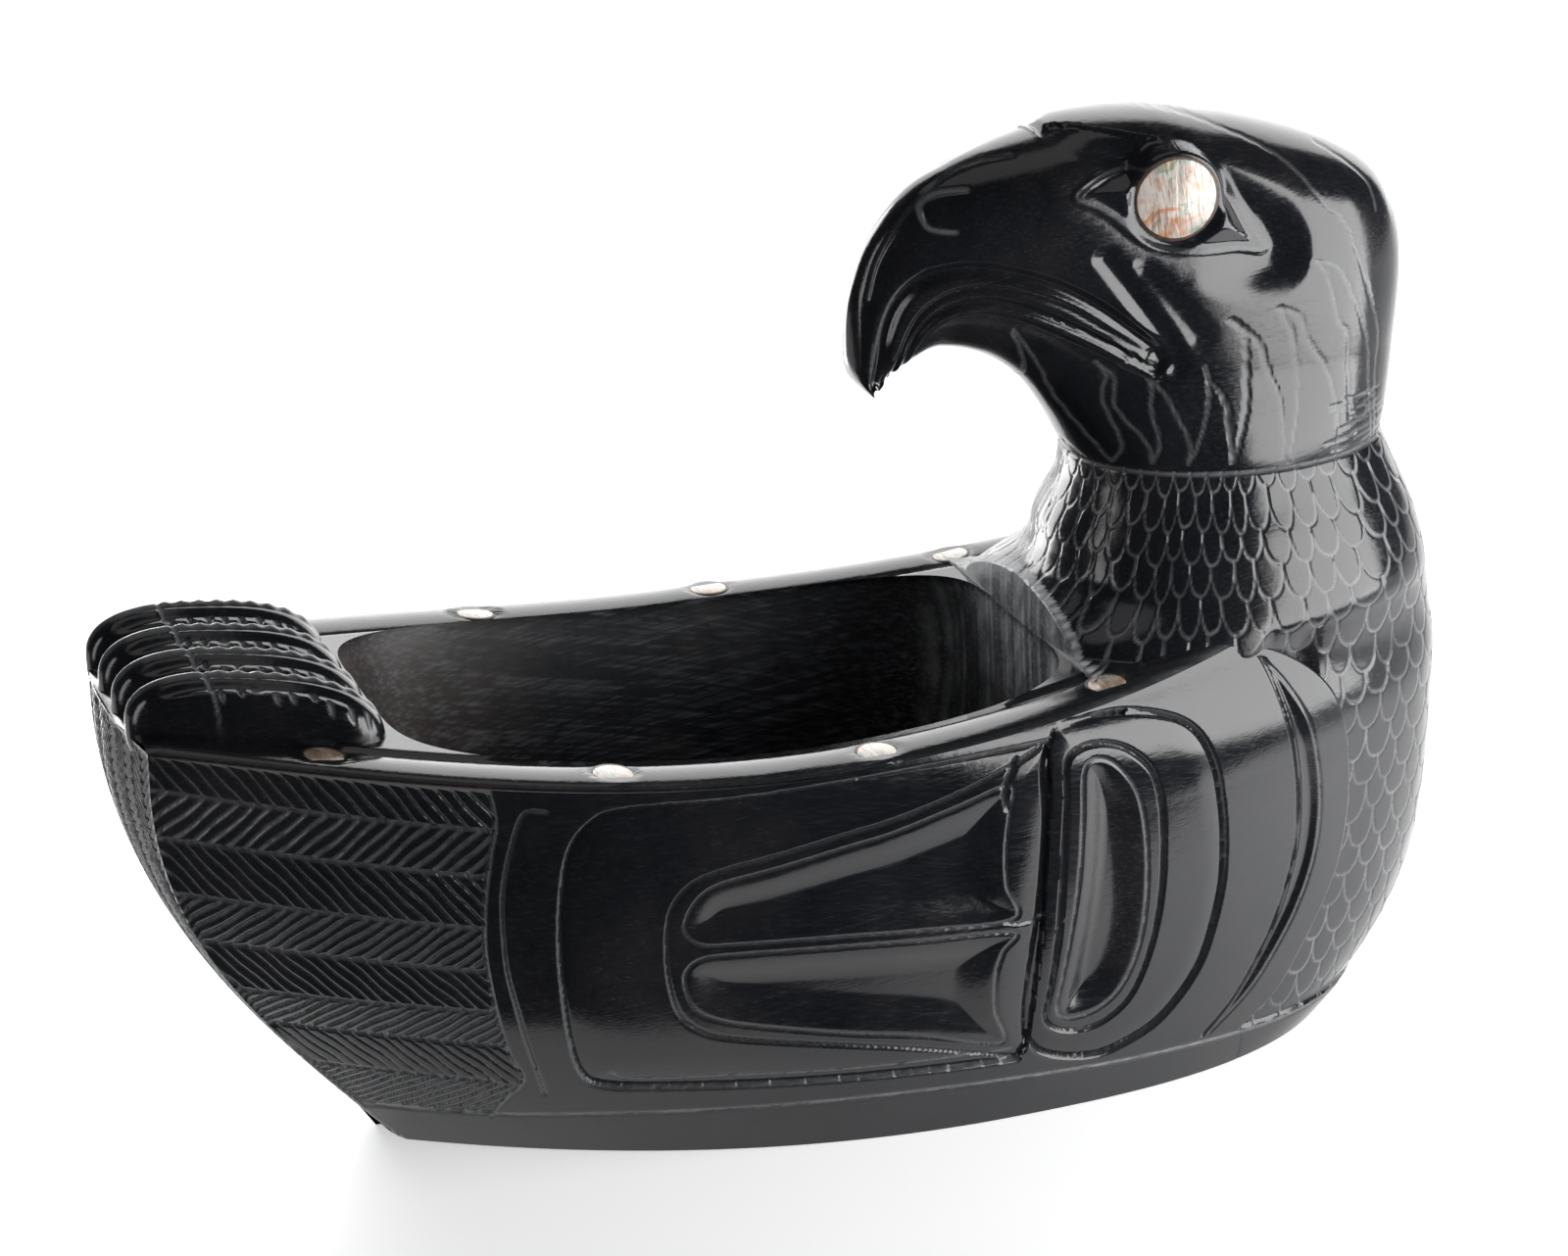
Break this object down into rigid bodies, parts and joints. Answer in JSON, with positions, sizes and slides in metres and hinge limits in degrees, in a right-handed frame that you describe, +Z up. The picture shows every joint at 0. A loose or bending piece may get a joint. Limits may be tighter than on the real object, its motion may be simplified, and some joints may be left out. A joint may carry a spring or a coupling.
{
  "type": "carved eagle bowl",
  "caption": "Footed stone bowl carved as an eagle that looks back over its own hollow back, with shell discs let into the eyes and rim.",
  "frame": {"origin": "under the middle of the piece, on the flat base it stands on", "axes": "+X from the tail towards the breast, +Y to the bird's left as seen from the tail (port), +Z up"},
  "size_m": [0.362, 0.13, 0.2493],
  "materials": {
    "argillite": "polished near-black carbonaceous slate with pale dust in the cut lines",
    "abalone_shell": "polished nacre, streaked cream, pink and green",
    "pitch": "dull brown bedding pitch"
  },
  "bodies": {
    "root": {"stone_body": "argillite", "shell_rim_starboard_1": "abalone_shell", "pitch_rim_starboard_1": "pitch", "shell_rim_starboard_2": "abalone_shell", "pitch_rim_starboard_2": "pitch", "shell_rim_starboard_3": "abalone_shell", "pitch_rim_starboard_3": "pitch", "shell_rim_starboard_4": "abalone_shell", "pitch_rim_starboard_4": "pitch", "shell_eye_starboard": "abalone_shell", "pitch_eye_starboard": "pitch", "shell_rim_port_1": "abalone_shell", "pitch_rim_port_1": "pitch", "shell_rim_port_2": "abalone_shell", "pitch_rim_port_2": "pitch", "shell_rim_port_3": "abalone_shell", "pitch_rim_port_3": "pitch", "shell_rim_port_4": "abalone_shell", "pitch_rim_port_4": "pitch", "shell_eye_port": "abalone_shell", "pitch_eye_port": "pitch"}
  },
  "joints": []
}
